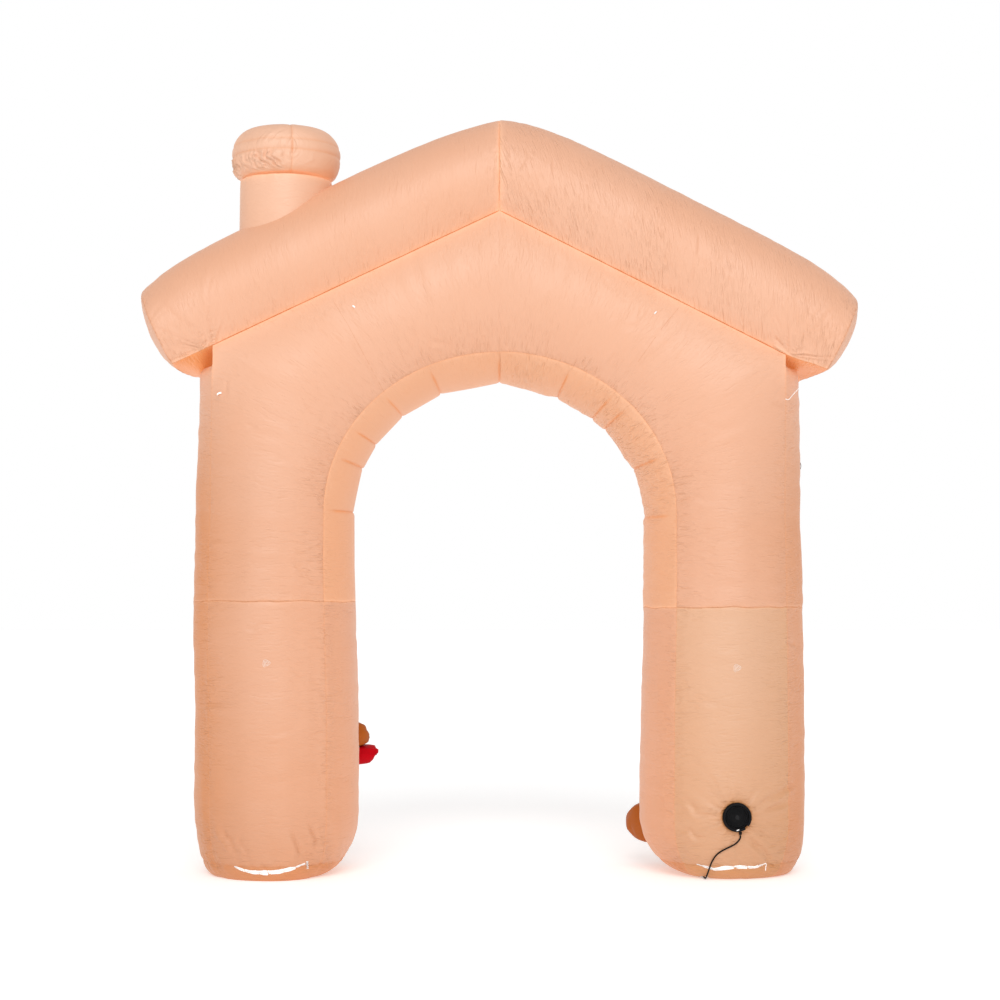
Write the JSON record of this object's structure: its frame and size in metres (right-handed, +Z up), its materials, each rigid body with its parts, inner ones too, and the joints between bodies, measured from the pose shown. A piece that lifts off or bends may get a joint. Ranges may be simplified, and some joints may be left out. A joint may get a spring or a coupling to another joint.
{
  "type": "inflatable arch",
  "caption": "Air-filled fabric archway shaped like a gabled house front with a chimney, a rounded doorway, and a small fan set in one leg.",
  "frame": {"origin": "on the floor, midway between the tips of the roof and midway through the arch's depth", "axes": "+Z up; -Y out of the plain back with the fan, which faces the viewer; +X to that viewer's right, towards the leg with the fan"},
  "size_m": [2.8974, 0.8352, 3.048],
  "materials": {
    "nylon": "thin coated woven nylon, blown up, softly see-through",
    "white_tape": "woven tape and zip tape",
    "dark_tape": "woven tape",
    "fan_plastic": "moulded, fine satin",
    "lead_black": "flexible sheath",
    "tie_black": "hook-and-loop strap",
    "plug_black": "moulded, satin",
    "blade_metal": "plated",
    "brown_cloth": "thin woven nylon, stuffed",
    "red_cloth": "thin woven nylon, stuffed"
  },
  "bodies": {
    "root": {"leg_left": "nylon", "leg_right": "nylon", "gable": "nylon", "roof_left": "nylon", "roof_right": "nylon", "chimney_stack": "nylon", "chimney_cap": "nylon", "zip_left": "white_tape", "zip_right": "white_tape", "zip_end_left": "white_tape", "zip_end_right": "white_tape", "light_tab_left": "white_tape", "light_tab_right": "white_tape", "tether_1": "white_tape", "tether_2": "white_tape", "tether_3": "white_tape", "tether_4": "white_tape", "side_tab": "dark_tape", "fan_rim": "fan_plastic", "fan_grille": "fan_plastic", "cord_gland": "lead_black", "cord_lead": "lead_black", "cord_coil": "lead_black", "cord_tail": "lead_black", "cord_tie": "tie_black", "cord_plug": "plug_black", "cord_plug_relief": "plug_black", "cord_blade_1": "blade_metal", "cord_blade_2": "blade_metal", "applique_brown_left": "brown_cloth", "applique_brown_right": "brown_cloth", "applique_red_left": "red_cloth"}
  },
  "joints": []
}
